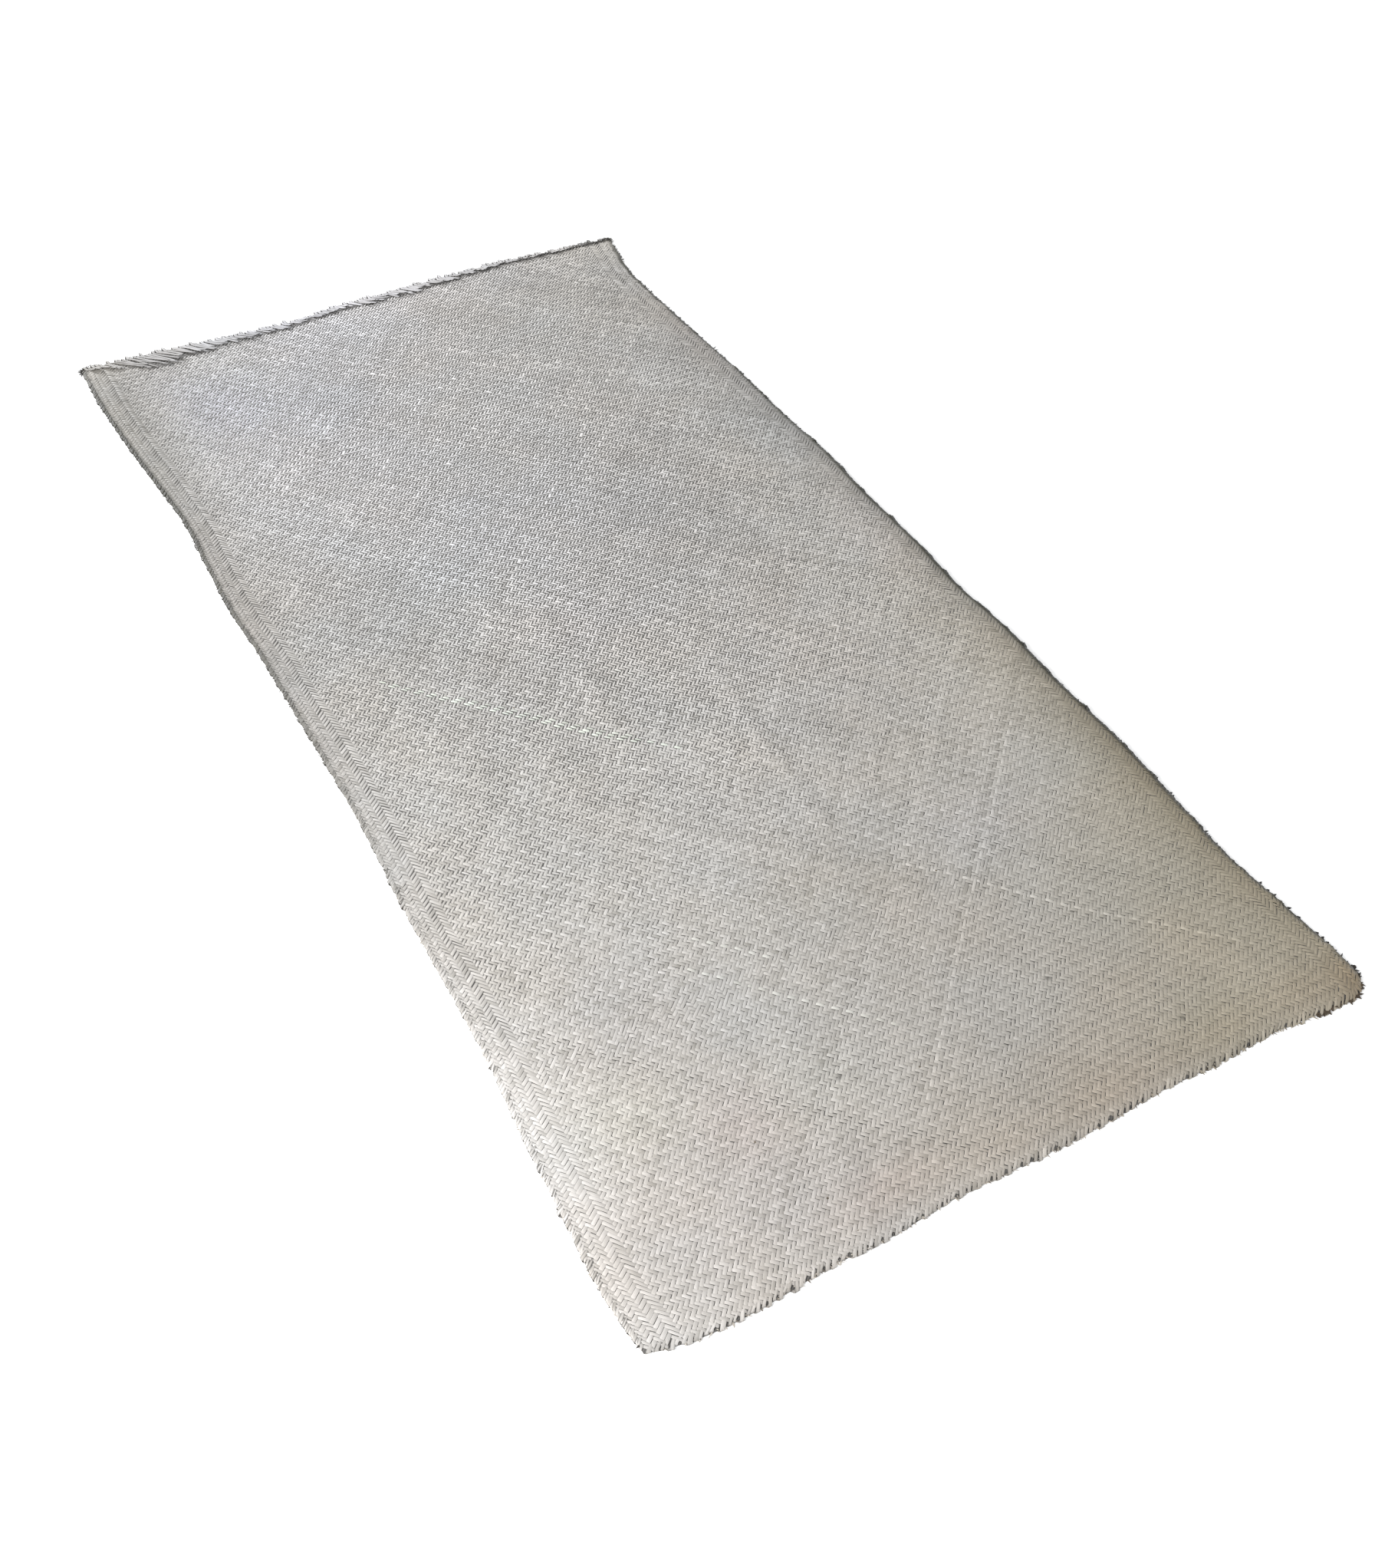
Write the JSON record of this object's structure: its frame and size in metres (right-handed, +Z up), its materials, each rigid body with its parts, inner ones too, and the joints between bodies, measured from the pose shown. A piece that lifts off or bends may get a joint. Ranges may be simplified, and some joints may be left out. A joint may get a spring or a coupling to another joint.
{
  "type": "rattan meditation mat",
  "caption": "Plaited rattan floor mat, long and thin, with chevron side borders and strand ends turned back at one end.",
  "frame": {"origin": "on the floor under the middle of the mat", "axes": "+X across the mat to its arched side, +Y along it to the end with the turned back strands, +Z up"},
  "size_m": [0.9001, 1.7971, 0.0194],
  "materials": {
    "plaited_rattan": "matte plaited strands with a soft sheen",
    "strand_ends": "matte cut strand ends"
  },
  "bodies": {
    "root": {"mat": "plaited_rattan", "turned_ends": "strand_ends"}
  },
  "joints": []
}
